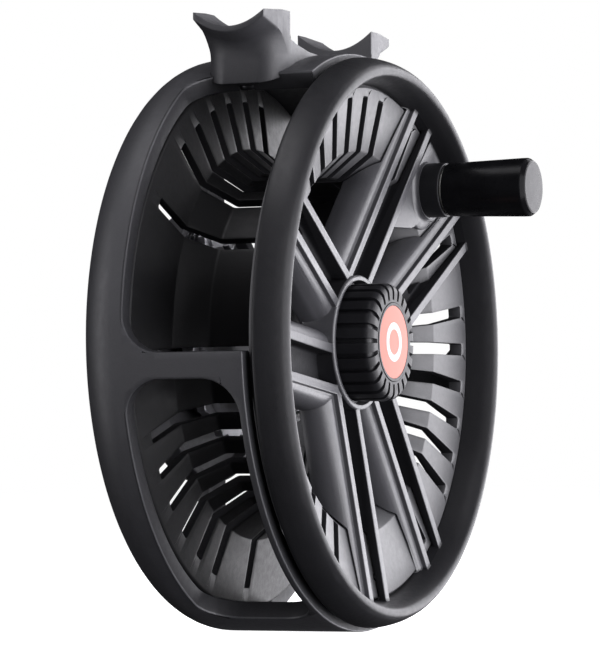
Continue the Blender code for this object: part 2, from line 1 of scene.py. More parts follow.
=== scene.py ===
"""Fly reel: fine surfaces, materials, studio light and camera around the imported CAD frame.

Shapes are drawn in millimetres. Radii are about the spindle and depth y runs from the rim's
front nose towards the back; place() turns such a point into the frame's own coordinates.
"""

import json
import math

import bmesh
import bpy
from mathutils import Matrix, Vector


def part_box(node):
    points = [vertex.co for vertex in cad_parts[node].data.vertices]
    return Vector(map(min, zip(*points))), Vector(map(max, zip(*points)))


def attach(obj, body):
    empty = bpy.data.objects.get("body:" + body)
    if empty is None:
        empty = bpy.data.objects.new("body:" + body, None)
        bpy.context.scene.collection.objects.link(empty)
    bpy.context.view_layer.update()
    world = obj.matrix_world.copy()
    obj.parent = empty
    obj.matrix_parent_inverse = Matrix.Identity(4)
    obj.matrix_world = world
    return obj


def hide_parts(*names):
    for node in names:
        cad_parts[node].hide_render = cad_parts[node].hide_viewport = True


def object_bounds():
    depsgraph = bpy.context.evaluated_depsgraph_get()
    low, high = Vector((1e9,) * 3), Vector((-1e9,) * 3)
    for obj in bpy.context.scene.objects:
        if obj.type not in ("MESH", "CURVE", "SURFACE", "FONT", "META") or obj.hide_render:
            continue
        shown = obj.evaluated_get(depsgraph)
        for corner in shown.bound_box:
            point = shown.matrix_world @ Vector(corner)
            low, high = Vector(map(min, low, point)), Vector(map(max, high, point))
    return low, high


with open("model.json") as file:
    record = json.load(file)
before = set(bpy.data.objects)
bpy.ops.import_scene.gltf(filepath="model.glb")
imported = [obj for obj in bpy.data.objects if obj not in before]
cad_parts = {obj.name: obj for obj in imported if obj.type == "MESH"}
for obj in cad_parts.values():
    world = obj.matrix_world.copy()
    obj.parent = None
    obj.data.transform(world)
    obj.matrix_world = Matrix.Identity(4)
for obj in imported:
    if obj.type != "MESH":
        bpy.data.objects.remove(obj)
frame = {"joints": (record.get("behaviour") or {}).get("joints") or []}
cad_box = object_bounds()

MM = 0.001
MERGE = 0.0015
SHARP_DEG = 38.0


def joint_place(name):
    """Where a joint stands, in millimetres."""
    joint = next(j for j in frame["joints"] if j["name"] == name)
    return Vector(joint["pos_m"]) / MM


AXIS_Z = joint_place("spool_spin").z
NOSE_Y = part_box("spool_core")[0].y / MM
HANDLE_AT = (joint_place("handle_spin").x, joint_place("handle_spin").z - AXIS_Z)
PAWL_AT = (joint_place("click_pawl_swing").x, joint_place("click_pawl_swing").z - AXIS_Z)

# Segments of a full turn
RIM_SEG = 234
MID_SEG = 96
SMALL_SEG = 48

# Cage
CAGE_R = 50.0
CAGE_IN_R = 46.8
PAD_IN_R = 44.0
PAD_OUT_R = 53.0
CAGE_FRONT_Y = 7.1
RING_T = 1.3
WINDOW_BACK_Y = 28.85
WINDOW_CORNER = 6.5
SIDE_BAR_TOP_DEG = 3.1
SIDE_BAR_LOW_DEG = 8.2
TOP_BAR_HALF_DEG = 24.7
LOW_BAR_LEFT_DEG = 18.7
LOW_BAR_RIGHT_DEG = 10.5
RIGHT_WINDOW_BACK_Y = 30.5
SHOULDER_Y = 31.0
SHOULDER_IN_R = 43.6
BACK_Y = 37.9
PORT_R = 42.3
PORT_FRONT_Y = 34.2
ARM_FRONT_Y = 34.8
ARM_BACK_Y = 37.2
ARM_W = 7.0
ARM_COUNT = 6
HUB_PLATE_Y = 37.1
HUB_PLATE_BACK_Y = 39.6
HUB_PLATE_R = 24.0
HUB_LIP_R = 22.3

# Foot
FOOT_Y = -NOSE_Y
FOOT_HALF_W = 7.2
SEAT_Z = -AXIS_Z
SEAT_R = 49.0
TOE_TIP_X = 27.5
TOE_TAPER = 0.6
TOE_TIP_THICK = 1.0
TOE_SLOPE = 0.39
TOE_IN_X = 17.6
POST_X = 22.3
POST_CORNER = 4.2
POST_FLARE = 2.0
FLARE_DROP = 3.2
WING_RISE = 3.2
SEAT_GAP = 0.08
WEB_Z = ((0.0, 49.9), (6.0, 49.7), (10.0, 49.95), (14.0, 50.6), (17.6, 51.4))
SCREW_DEG = (112.5, 67.5)

# Spool
RIM_BACK_Y = 5.8
PAIR_DEG = (46.0, 166.0, 286.0)
SPLAY_DEG = 10.0
SPOKE_OFFSET = 5.5
FLANK_W = 2.8
FLANK_D = 4.4
RIB_IN_W = 2.6
RIB_OUT_W = 4.2
RIB_RISE = 0.9
RIB_Y25 = 5.95
RIB_SLOPE = -0.12
CHANNEL_DEPTH = 3.2
HUB_R = 11.75
HUB_TUBE_R = 9.5
COLLAR_Y = 7.35
HUB_FRONT_Y = 9.6
HUB_BACK_Y = 26.3
SLOT_W = 2.1
SLOT_STEP = 120.0 / 13.0
SLOT_PLACES = (2, 4, 5, 6, 7, 8, 9, 11)
SLOT_IN_R = 26.0
SLOT_OUT_R = 42.6
SCREW_ALONG = 40.6

# Cap, knob, handle and drag
CAP_R = 10.2
CAP_FRONT_Y = 1.2
FLUTES = 24
BOSS_R = 4.85
BOSS_FRONT_Y = 1.6
BOSS_BACK_Y = 5.17
FLARE_Y = 4.6
PLATE_OUTLINE = ((13.0, 20.8), (21.0, 20.9), (25.1, 22.6), (29.3, 22.6), (36.0, 27.3),
                 (31.4, 32.5), (26.0, 37.0))
GRIP_BASE_Y = 0.65
GRIP_END_Y = -15.4
GRIP_R0 = 4.74
GRIP_R1 = 5.19
KNOB_R = 13.0
DRUM_OUT_R = 13.8
DRUM_IN_R = 12.4
GEAR_TEETH = 36
GEAR_TIP_R = 16.6
GEAR_ROOT_R = 15.9


# --- shape tools --------------------------------------------------------------------------

def polar(radius, degrees):
    """Point at a radius and an angle, as (x, z)."""
    angle = math.radians(degrees)
    return radius * math.cos(angle), radius * math.sin(angle)


def place(x, y, z):
    """A reel point in the frame's coordinates, in millimetres."""
    return Vector((x, y + NOSE_Y, z + AXIS_Z))


def rounded(points, radius, steps=4):
    """Closed outline with its corners turned into arcs; radius is one number or one a point."""
    out = []
    count = len(points)
    for i in range(count):
        size = radius[i] if isinstance(radius, (list, tuple)) else radius
        here = Vector(points[i])
        before = Vector(points[i - 1]) - here
        after = Vector(points[(i + 1) % count]) - here
        reach = min(before.length, after.length)
        before.normalize()
        after.normalize()
        half = math.acos(max(-1.0, min(1.0, before.dot(after)))) / 2
        if size <= 0 or half > math.radians(87) or half < 1e-3:
            out.append(tuple(here))
            continue
        back = min(size / math.tan(half), 0.48 * reach)
        true_r = back * math.tan(half)
        centre = here + (before + after).normalized() * (true_r / math.sin(half))
        start = here + before * back - centre
        end = here + after * back - centre
        turn = math.pi - 2 * half
        for k in range(steps + 1):
            t = k / steps
            arm = start * math.sin((1 - t) * turn) + end * math.sin(t * turn)
            out.append(tuple(centre + arm / math.sin(turn)))
    return out


def turned_corners(profile, radius):
    """Corner radii of a turned profile: none where it meets the axis."""
    sizes = radius if isinstance(radius, (list, tuple)) else [radius] * len(profile)
    return [0.0 if p[0] < 1e-6 else s for p, s in zip(profile, sizes)]


def flowing(points, steps=4):
    """Smooth open curve through the points (Catmull-Rom)."""
    ends = [points[0]] + list(points) + [points[-1]]
    out = []
    for i in range(1, len(ends) - 2):
        p0, p1, p2, p3 = (Vector(p) for p in ends[i - 1:i + 3])
        for k in range(steps):
            t = k / steps
            out.append(tuple(0.5 * (2 * p1 + (p2 - p0) * t + (2 * p0 - 5 * p1 + 4 * p2 - p3) * t * t
                                    + (3 * p1 - p0 - 3 * p2 + p3) * t ** 3)))
    out.append(tuple(points[-1]))
    return out


def new_object(name, verts, faces):
    """Welded mesh object from reel points and faces."""
    mesh = bpy.data.meshes.new(name)
    mesh.from_pydata([place(*v) for v in verts], [], faces)
    work = bmesh.new()
    work.from_mesh(mesh)
    bmesh.ops.remove_doubles(work, verts=work.verts, dist=MERGE)
    bmesh.ops.recalc_face_normals(work, faces=work.faces)
    work.to_mesh(mesh)
    work.free()
    made = bpy.data.objects.new(name, mesh)
    bpy.context.scene.collection.objects.link(made)
    return made


def lathe(name, profile, centre=(0.0, 0.0), seg=MID_SEG, flute=None, turns=None):
    """Turn a closed (radius, y) loop about an axis along Y; flute(radius, y, degrees) moves it."""
    verts, rows = [], []
    turns = turns or [360.0 * k / seg for k in range(seg)]
    seg = len(turns)
    for r, y in profile:
        row = []
        for degrees in turns[:1] if r < 1e-6 else turns:
            at_r, at_y = flute(r, y, degrees) if flute else (r, y)
            px, pz = polar(at_r, degrees)
            row.append(len(verts))
            verts.append((centre[0] + px, at_y, centre[1] + pz))
        rows.append(row if len(row) > 1 else row * seg)
    faces = []
    for i, row in enumerate(rows):
        after = rows[(i + 1) % len(rows)]
        if row[0] == row[1] and after[0] == after[1]:
            continue
        for k in range(seg):
            j = (k + 1) % seg
            corners = dict.fromkeys((row[k], row[j], after[j], after[k]))
            faces.append(list(corners))
    return new_object(name, verts, faces)


def rod(name, r, y0, y1, centre=(0.0, 0.0), seg=SMALL_SEG):
    return lathe(name, [(0, y0), (r, y0), (r, y1), (0, y1)], centre, seg)


def stations(name, loops):
    """Skin a row of equal point loops and close both ends."""
    count = len(loops[0])
    verts = [p for loop in loops for p in loop]
    faces = [list(range(count)), list(range(len(verts) - count, len(verts)))]
    for i in range(len(loops) - 1):
        for k in range(count):
            j = (k + 1) % count
            a, b = i * count, (i + 1) * count
            faces.append([a + k, a + j, b + j, b + k])
    return new_object(name, verts, faces)


def slab(name, outline, y0, y1):
    """Extrude an (x, z) outline along Y."""
    return stations(name, [[(x, y, z) for x, z in outline] for y in (y0, y1)])


def radial_points(degrees, spots):
    """(along, across) spots measured from the spindle in one direction, as (x, z) points."""
    out = []
    for along, across in spots:
        ax, az = polar(along, degrees)
        sx, sz = polar(across, degrees + 90.0)
        out.append((ax + sx, az + sz))
    return out


def radial_box(name, degrees, r0, r1, width, y0, y1, corner):
    """Box lying along a radius of the reel, with rounded upright corners."""
    half = width / 2.0
    spots = rounded([(r0, -half), (r1, -half), (r1, half), (r0, half)], corner)
    return slab(name, radial_points(degrees, spots), y0, y1)


def cross_pin(name, degrees, r0, r1, radius, y, seg=24):
    """Straight round pin lying along a radius of the reel."""
    ux, uz = polar(1.0, degrees)
    loops = []
    for along in (r0, r1):
        loop = []
        for k in range(seg):
            a = 2 * math.pi * (k + 0.5) / seg
            side = radius * math.cos(a)
            loop.append((ux * along - uz * side, y + radius * math.sin(a), uz * along + ux * side))
        loops.append(loop)
    return stations(name, loops)


def wrapped_pad(name, deg0, deg1, y0, y1, low_corner, high_corner):
    """Curved pad through the cage's wall with rounded corners towards y0 and y1."""
    span = deg1 - deg0
    corner_deg = math.degrees(max(low_corner, high_corner, 0.01) / CAGE_R)
    stops = {deg0, deg1}
    for k in range(1, 11):
        reach = corner_deg * (1 - math.cos(k * math.pi / 20))
        stops |= {deg0 + reach, deg1 - reach}
    middle = max(2, round((span - 2 * corner_deg) * RIM_SEG / 720.0))
    stops |= {deg0 + corner_deg + (span - 2 * corner_deg) * k / middle for k in range(middle + 1)}
    loops = []
    for deg in sorted(stops):
        near = math.radians(min(deg - deg0, deg1 - deg)) * CAGE_R
        low, high = y0, y1
        if low_corner and near < low_corner:
            low += low_corner - math.sqrt(max(0.0, low_corner ** 2 - (low_corner - near) ** 2))
        if high_corner and near < high_corner:
            high -= high_corner - math.sqrt(max(0.0, high_corner ** 2 - (high_corner - near) ** 2))
        ix, iz = polar(PAD_IN_R, deg)
        ox, oz = polar(PAD_OUT_R, deg)
        loops.append([(ix, low, iz), (ox, low, oz), (ox, high, oz), (ix, high, iz)])
    return stations(name, loops)


def apply_all(target):
    """Bake an object's modifiers into its mesh."""
    graph = bpy.context.evaluated_depsgraph_get()
    baked = bpy.data.meshes.new_from_object(target.evaluated_get(graph))
    target.modifiers.clear()
    target.data = baked


def merge(target, tool, how="DIFFERENCE", solver="EXACT"):
    """Apply one Boolean and drop the tool."""
    step = target.modifiers.new(how.title(), "BOOLEAN")
    step.operation = how
    step.solver = solver
    step.object = tool
    apply_all(target)
    bpy.data.objects.remove(tool, do_unlink=True)


def cut(target, tool):
    """Take a closed tool away from a closed target."""
    merge(target, tool, "DIFFERENCE", "MANIFOLD")


def join(target, tool):
    """Add a closed tool to a closed target."""
    merge(target, tool, "UNION", "MANIFOLD")


def clean(target, dist=0.01):
    """Weld close points, drop needle faces and turn the faces outwards."""
    work = bmesh.new()
    work.from_mesh(target.data)
    bmesh.ops.remove_doubles(work, verts=work.verts, dist=dist)
    bmesh.ops.dissolve_degenerate(work, edges=work.edges, dist=dist)
    bmesh.ops.recalc_face_normals(work, faces=work.faces)
    work.to_mesh(target.data)
    work.free()


def soften(target, width, angle=SHARP_DEG):
    """Round an object's sharp edges with narrow fillets."""
    step = target.modifiers.new("Edges", "BEVEL")
    step.width = width
    step.segments = 2
    step.limit_method = "ANGLE"
    step.angle_limit = math.radians(angle)
    step.use_clamp_overlap = False
    step.miter_outer = "MITER_ARC"
    apply_all(target)


def plate(name, outlines, y0, y1, edge):
    """Flat plate with holes and rounded edges, from (x, z) outlines."""
    curve = bpy.data.curves.new(name, "CURVE")
    curve.dimensions = "2D"
    curve.fill_mode = "BOTH"
    curve.extrude = (y1 - y0) / 2 - edge
    curve.bevel_depth = edge
    curve.bevel_resolution = 2
    curve.offset = -edge
    for outline in outlines:
        spline = curve.splines.new("POLY")
        spline.points.add(len(outline) - 1)
        spline.use_cyclic_u = True
        for point, (x, z) in zip(spline.points, outline):
            point.co = (x, z, 0.0, 1.0)
    guide = bpy.data.objects.new(name + "_guide", curve)
    bpy.context.scene.collection.objects.link(guide)
    graph = bpy.context.evaluated_depsgraph_get()
    mesh = bpy.data.meshes.new_from_object(guide.evaluated_get(graph))
    bpy.data.objects.remove(guide, do_unlink=True)
    middle = (y0 + y1) / 2
    for v in mesh.vertices:
        v.co = place(v.co.x, middle - v.co.z, v.co.y)
    made = bpy.data.objects.new(name, mesh)
    bpy.context.scene.collection.objects.link(made)
    clean(made, MERGE)
    return made


def arc(radius, deg0, deg1, steps):
    """Points along an arc round the spindle."""
    return [polar(radius, deg0 + (deg1 - deg0) * k / steps) for k in range(steps + 1)]


def paint_shade_on_faces(target, look, test):
    """Give the faces that pass test(middle, normal) a second, darker material as painted shade; the
    middle is a reel point.
    """
    target.data.materials.append(look)
    for face in target.data.polygons:
        middle = face.center / MM
        if test((middle.x, middle.y - NOSE_Y, middle.z - AXIS_Z), face.normal):
            face.material_index = 1


def dress(target, look, body, node):
    """Finish a piece: metres, smooth shading, material, body, and the CAD node it stands for."""
    target.data.transform(Matrix.Scale(MM, 4))
    target.data.shade_smooth()
    target.data.set_sharp_from_angle(angle=math.radians(SHARP_DEG))
    target.data.materials.clear()
    target.data.materials.append(look)
    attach(target, body)
    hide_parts(node)
    return target


# --- materials ----------------------------------------------------------------------------

class Look:
    """One material's nodes. Textures are measured in millimetres on the object."""

    def __init__(self, name):
        self.material = bpy.data.materials.new(name)
        self.material.use_nodes = True
        self.tree = self.material.node_tree
        self.shader = self.tree.nodes["Principled BSDF"]
        where = self.add("ShaderNodeTexCoord")
        scaled = self.add("ShaderNodeMapping", {"Vector": where.outputs["Object"],
                                                "Scale": (1 / MM, 1 / MM, 1 / MM)})
        self.place = scaled.outputs["Vector"]

    def add(self, kind, inputs=None, **settings):
        made = self.tree.nodes.new(kind)
        for key, value in settings.items():
            setattr(made, key, value)
        for key, value in (inputs or {}).items():
            self.feed(made.inputs[key], value)
        return made

    def feed(self, socket, value):
        if isinstance(value, bpy.types.NodeSocket):
            self.tree.links.new(value, socket)
        else:
            socket.default_value = value

    def set(self, **values):
        for key, value in values.items():
            self.feed(self.shader.inputs[key.replace("_", " ")], value)

    def noise(self, size, detail, rough):
        """Noise whose blobs are about size millimetres across."""
        made = self.add("ShaderNodeTexNoise", {"Vector": self.place, "Scale": 1.0 / size,
                                               "Detail": detail, "Roughness": rough})
        return made.outputs["Fac"]

    def spread(self, fac, low, high, from_low=0.3, from_high=0.7):
        """Remap a 0 to 1 value to low..high."""
        made = self.add("ShaderNodeMapRange", {"Value": fac, "To Min": low, "To Max": high,
                                               "From Min": from_low, "From Max": from_high})
        return made.outputs["Result"]

    def blend(self, fac, a, b, how="MIX"):
        made = self.add("ShaderNodeMix", data_type="RGBA", blend_type=how)
        self.feed(made.inputs["Factor"], fac)
        self.feed(made.inputs[6], a)
        self.feed(made.inputs[7], b)
        return made.outputs[2]

    def worn_edges(self):
        """0 on faces, 1 on convex edges."""
        shape = self.add("ShaderNodeNewGeometry")
        return self.spread(shape.outputs["Pointiness"], 0.0, 1.0, 0.52, 0.62)

    def bump(self, height, strength, distance):
        made = self.add("ShaderNodeBump", {"Height": height, "Strength": strength,
                                           "Distance": distance * MM})
        self.set(Normal=made.outputs["Normal"])


def rgba(colour, gain=1.0):
    """A colour times a gain, with full alpha."""
    return (*(c * gain for c in colour), 1.0)


def moulding(name, colour, rough, grain=0.22, relief=0.35, edge=1.8, sheen=0.5, painted_shade=None,
             shade_gain=0.4):
    """Glass-filled nylon: fine spark-eroded grain, faint flow clouds, edges rubbed paler.

    The optional shade mask gives 0 where the colour is left as it is and 1 where painted shade
    darkens the colour and lowers the sheen by the gain.
    """
    look = Look(name)
    clouds = look.noise(9.0, 3.0, 0.55)
    grain_fac = look.noise(grain, 3.0, 0.6)
    coarse = look.noise(grain * 3.1, 2.0, 0.5)
    base = look.blend(look.spread(clouds, 0.0, 1.0), rgba(colour, 0.86), rgba(colour, 1.15))
    base = look.blend(look.spread(grain_fac, 0.0, 0.55, 0.35, 0.7), base, rgba(colour, 1.55))
    rubbed = look.add("ShaderNodeMath", {0: look.worn_edges(), 1: look.noise(1.6, 3.0, 0.6)},
                      operation="MULTIPLY")
    base = look.blend(rubbed.outputs[0], base, rgba(colour, edge))
    sheen_now = sheen
    # painted shade: where the mask is 1, the colour and the sheen are scaled down by the gain
    if painted_shade:
        shade_mask = painted_shade(look)
        base = look.blend(shade_mask, base, look.blend(1.0, base, rgba((shade_gain,) * 3), "MULTIPLY"))
        sheen_now = look.spread(shade_mask, sheen, sheen * shade_gain, 0.0, 1.0)
    look.set(Base_Color=base, Specular_IOR_Level=sheen_now)
    look.set(Roughness=look.spread(look.noise(1.1, 4.0, 0.6), rough - 0.05, rough + 0.06))
    height = look.add("ShaderNodeMath", {0: grain_fac, 1: coarse}, operation="ADD")
    look.bump(height.outputs[0], relief, 0.03)
    return look.material


def gloss_moulding(name, colour, rough):
    """Polished black moulding with faint polishing waves and rubbed patches."""
    look = Look(name)
    smear = look.noise(3.5, 4.0, 0.6)
    rubs = look.noise(2.0, 3.0, 0.5)
    look.set(Base_Color=look.blend(look.spread(smear, 0.0, 1.0), rgba(colour, 0.8),
                                   rgba(colour, 1.3)))
    look.set(Roughness=look.spread(rubs, rough - 0.02, rough + 0.05), Specular_IOR_Level=0.07)
    look.bump(smear, 0.05, 0.01)
    return look.material


def metal(name, colour, rough):
    """Turned metal: fine rings about the reel's spindle, with faint handling stains."""
    look = Look(name)
    centred = look.add("ShaderNodeVectorMath", {0: look.place, 1: (0.0, -NOSE_Y, -AXIS_Z)},
                       operation="ADD")
    rings = look.add("ShaderNodeTexWave", {"Vector": centred.outputs[0], "Scale": 1.2,
                                           "Distortion": 0.3, "Detail": 1.0, "Detail Scale": 1.0},
                     wave_type="RINGS", rings_direction="Y")
    stain = look.noise(2.4, 4.0, 0.6)
    look.set(Base_Color=look.blend(look.spread(stain, 0.0, 1.0), rgba(colour, 0.88),
                                   rgba(colour, 1.05)), Metallic=1.0)
    look.set(Roughness=look.spread(rings.outputs["Fac"], rough - 0.04, rough + 0.06, 0.2, 0.8))
    return look.material


def woven(name, colour):
    """Woven carbon friction face: two crossed sets of tows."""
    look = Look(name)
    weave = look.add("ShaderNodeTexChecker", {"Vector": look.place, "Scale": 0.55})
    fibre = look.noise(0.3, 4.0, 0.7)
    look.set(Base_Color=look.blend(weave.outputs["Fac"], rgba(colour, 0.7), rgba(colour, 1.5)))
    look.set(Roughness=look.spread(fibre, 0.5, 0.75))
    look.bump(fibre, 0.4, 0.03)
    return look.material


def enamel(name, colour):
    """Enamelled badge face: even colour with a soft orange-peel surface."""
    look = Look(name)
    peel = look.noise(0.7, 2.0, 0.5)
    look.set(Base_Color=look.blend(look.spread(peel, 0.0, 1.0), rgba(colour, 0.96),
                                   rgba(colour, 1.04)))
    look.set(Roughness=look.spread(peel, 0.50, 0.60), Specular_IOR_Level=0.08)
    look.bump(peel, 0.12, 0.02)
    return look.material


def behind(y0, y1):
    """0 in front of y0, 1 behind y1."""
    def fade(look):
        parts = look.add("ShaderNodeSeparateXYZ", {"Vector": look.place})
        return look.spread(parts.outputs["Y"], 0.0, 1.0, y0 + NOSE_Y, y1 + NOSE_Y)
    return fade


def outside(r0, r1):
    """0 inside radius r0, 1 outside r1."""
    def fade(look):
        centred = look.add("ShaderNodeVectorMath", {0: look.place, 1: (0.0, -NOSE_Y, -AXIS_Z)},
                           operation="ADD")
        flat = look.add("ShaderNodeVectorMath", {0: centred.outputs[0], 1: (1.0, 0.0, 1.0)},
                        operation="MULTIPLY")
        size = look.add("ShaderNodeVectorMath", {0: flat.outputs[0]}, operation="LENGTH")
        return look.spread(size.outputs["Value"], 0.0, 1.0, r0, r1)
    return fade


CHARCOAL = moulding("charcoal_moulding", (0.022, 0.022, 0.0245), 0.52)
# painted shade: the spool's rim, outside radius 44.2 to 44.6, gets a darker colour and less sheen
SPOOL_GREY = moulding("spool_moulding", (0.026, 0.026, 0.029), 0.42, sheen=0.66,
                      painted_shade=outside(44.2, 44.6), shade_gain=0.32)
# painted shade: the cassette grows darker and less glossy from 9.5 to 14 mm deep and beyond
CASSETTE_BLACK = moulding("cassette_moulding", (0.022, 0.022, 0.024), 0.48, sheen=0.75,
                          painted_shade=behind(9.5, 14.0), shade_gain=0.22)
# painted shade: a darker, less glossy copy of the charcoal moulding for the cage's inside
INNER_WALL_SHADE = moulding("shaded_inner_wall", (0.013, 0.013, 0.0145), 0.6, sheen=0.2)
# painted shade: a near-black copy of the moulding for channels and slots
RECESS_SHADE = moulding("painted_recess_shade", (0.006, 0.006, 0.007), 0.62, sheen=0.12)
KNOB_BLACK = moulding("knob_moulding", (0.006, 0.006, 0.007), 0.42, grain=0.15, relief=0.18,
                      sheen=0.16)
GLOSS_BLACK = gloss_moulding("polished_grip", (0.0035, 0.0035, 0.004), 0.27)
STEEL = metal("turned_steel", (0.38, 0.38, 0.40), 0.36)
SCREW_STEEL = metal("blackened_steel", (0.07, 0.07, 0.075), 0.36)
BRONZE = metal("sintered_bronze_bush", (0.52, 0.36, 0.19), 0.42)
ALLOY = metal("turned_alloy", (0.42, 0.42, 0.43), 0.42)
CARBON = woven("carbon_washer_face", (0.030, 0.030, 0.033))
NYLON = moulding("nylon_washer", (0.72, 0.71, 0.67), 0.48, edge=1.05)
RUBBER = moulding("rubber_seal", (0.018, 0.018, 0.018), 0.78, relief=0.5, edge=1.3)
SALMON = enamel("salmon_enamel_face", (0.30, 0.118, 0.097))
PALE_ENAMEL = enamel("pale_enamel_ring", (0.38, 0.35, 0.345))


# --- cage and foot ------------------------------------------------------------------------

def cage_shell():
    """The cage's drum: a turned wall with four windows and the foot's seat."""
    shoulder = []
    for k in range(13):
        out, back = polar(1.0, 7.5 * k)
        shoulder.append((SHOULDER_IN_R + (CAGE_R - SHOULDER_IN_R) * out,
                         SHOULDER_Y + (BACK_Y - SHOULDER_Y) * back))
    outline = [(CAGE_IN_R, CAGE_FRONT_Y), (CAGE_R, CAGE_FRONT_Y), *shoulder,
               (PORT_R, BACK_Y), (PORT_R, PORT_FRONT_Y), (45.6, PORT_FRONT_Y), (CAGE_IN_R, 33.0)]
    sizes = [0.25, 0.25] + [0.0] * len(shoulder) + [0.5, 0.5, 0.0, 0.0]
    shell = lathe("frame_cage_shell", refine(rounded(outline, sizes), 2.0), seg=RIM_SEG)
    front_y = CAGE_FRONT_Y + RING_T
    windows = (
        (90 + TOP_BAR_HALF_DEG, 180 + SIDE_BAR_TOP_DEG, 5.0, WINDOW_BACK_Y, 0.0),
        (180 + SIDE_BAR_LOW_DEG, 270 - LOW_BAR_LEFT_DEG, front_y, WINDOW_BACK_Y, WINDOW_CORNER),
        (270 + LOW_BAR_RIGHT_DEG, 360 - SIDE_BAR_LOW_DEG, front_y, RIGHT_WINDOW_BACK_Y,
         WINDOW_CORNER),
        (-SIDE_BAR_TOP_DEG, 90 - TOP_BAR_HALF_DEG, front_y, WINDOW_BACK_Y, WINDOW_CORNER))
    for *extent, front_corner in windows:
        cut(shell, wrapped_pad("window", *extent, front_corner, WINDOW_CORNER))
    clean(shell)
    soften(shell, 0.35)
    tools = [foot_seat()]
    for deg in SCREW_DEG:
        tools.append(cross_pin("head_seat", deg, 44.0, 47.9, 2.3, FOOT_Y, 32))
        tools.append(cross_pin("bolt_hole", deg, 44.0, 50.0, 1.3, FOOT_Y))
    for tool in tools:
        cut(shell, tool)
    clean(shell, MERGE)
    dress(shell, CHARCOAL, "frame", "frame_cage")
    # painted shade on the cage's inside and the walls of its windows
    paint_shade_on_faces(shell, INNER_WALL_SHADE, on_inner_wall)


def on_inner_wall(spot, _normal):
    """True inside the cage and on the walls of its windows."""
    x, y, z = spot
    return math.hypot(x, z) < CAGE_R - 0.45 and y < SHOULDER_Y + 2.0


def foot_seat():
    """The foot's own outline, cut into the cage down to the seat's radius."""
    half_x, half_y = POST_X + SEAT_GAP, FOOT_HALF_W + SEAT_GAP
    outline = rounded([(half_x, half_y), (-half_x, half_y), (-half_x, -half_y), (half_x, -half_y)],
                      POST_CORNER + SEAT_GAP, 12)
    block = stations("seat", [[(x, FOOT_Y + y, z) for x, y in outline] for z in (40.0, 55.0)])
    cut(block, rod("seat_floor", SEAT_R - SEAT_GAP, 0.0, 36.0, seg=240))
    return block


def back_spider():
    """Six arms and their ports, with the raised plate round the spindle."""
    ports = []
    for k in range(ARM_COUNT):
        centre = 60.0 * k
        inner, outer, half = HUB_PLATE_R - 0.5, PORT_R + 1.2, ARM_W / 2
        in_deg = 30.0 - math.degrees(math.asin(half / inner))
        out_deg = 30.0 - math.degrees(math.asin(half / outer))
        corners = (arc(inner, centre + in_deg, centre - in_deg, 10)
                   + arc(outer, centre - out_deg, centre + out_deg, 16))
        ports.append(rounded(corners, 1.6, 5))
    disc = arc(PORT_R + 2.2, 0.0, 360.0, 180)[:-1]
    bore = arc(HUB_LIP_R + 0.2, 0.0, 360.0, 96)[:-1]
    web = plate("frame_cage_arms", [disc, bore, *ports], ARM_FRONT_Y, ARM_BACK_Y, 0.45)
    dress(web, CHARCOAL, "frame", "frame_cage")
    back = HUB_PLATE_BACK_Y
    hub = lathe("frame_cage_hub", rounded(
        [(3.3, HUB_PLATE_Y), (HUB_LIP_R, HUB_PLATE_Y), (HUB_LIP_R, ARM_FRONT_Y),
         (HUB_PLATE_R, ARM_FRONT_Y), (HUB_PLATE_R, back), (14.2, back), (13.9, back - 0.25),
         (13.5, back - 0.25), (13.2, back), (3.3, back)],
        [0.2, 0.1, 0.2, 0.3, 0.7, 0.1, 0.1, 0.1, 0.1, 0.3]), seg=RIM_SEG)
    dress(hub, CHARCOAL, "frame", "frame_cage")


def post_half_width(a):
    """Half width of the post at distance a from the middle, with rounded corners."""
    inset = max(0.0, POST_CORNER - (POST_X - a))
    return FOOT_HALF_W - POST_CORNER + math.sqrt(max(0.0, POST_CORNER ** 2 - inset ** 2))


def saddle_top(side):
    """Height of a saddle's hollow at distance side from the foot's middle plane."""
    return SEAT_Z + WING_RISE * (side / FOOT_HALF_W) ** 2


def wing_under(a, side):
    """Height of a wing's underside, with the flare that runs into the post."""
    top = saddle_top(side)
    thick = TOE_TIP_THICK + TOE_SLOPE * (TOE_TIP_X - a) + 0.35 * (side / FOOT_HALF_W) ** 2
    dx = max(0.0, a - POST_X + POST_CORNER)
    dy = max(0.0, side - FOOT_HALF_W + POST_CORNER)
    gap = math.hypot(dx, dy) - POST_CORNER
    near = min(1.0, max(0.0, 1.0 - gap / POST_FLARE))
    return top - thick - FLARE_DROP * (1.0 - math.sqrt(1.0 - near ** 2))


def web_top(a):
    """Height of the web's top at distance a from the middle of the foot."""
    for (a0, z0), (a1, z1) in zip(WEB_Z, WEB_Z[1:]):
        if a <= a1:
            t = (a - a0) / (a1 - a0)
            return z0 + (z1 - z0) * t * t * (3 - 2 * t)
    return WEB_Z[-1][1]


def foot_section(x):
    """Closed (x, y, z) loop of the foot at one place along the rod."""
    a = abs(x)
    wing = FOOT_HALF_W - TOE_TAPER * max(0.0, (a - 21.0) / (TOE_TIP_X - 21.0))
    post = post_half_width(min(a, POST_X))
    floor = math.sqrt(SEAT_R ** 2 - a ** 2)
    inside = a < TOE_IN_X - 0.01
    half = []
    for k in range(15):
        side = wing * k / 14
        half.append((side, web_top(a) if inside else saddle_top(side)))
    for k in range(11):
        part = k / 10
        side = wing + (post - wing) * part
        if inside:
            half.append((wing, web_top(a) + (floor - web_top(a)) * (part + 1) / 2))
        elif wing - post > 0.01 or a > POST_X:
            half.append((side, wing_under(a, side)))
        else:
            low = SEAT_Z + WING_RISE - 4.0
            half.append((wing, low + (floor - low) * part))
    for k in range(8, -1, -1):
        side = post * k / 8
        half.append((side, floor if a <= POST_X else wing_under(a, side)))
    right = half[1:-1]
    loop = [half[0]] + right + [half[-1]] + [(-side, z) for side, z in reversed(right)]
    return [(x, FOOT_Y + side, z) for side, z in loop]


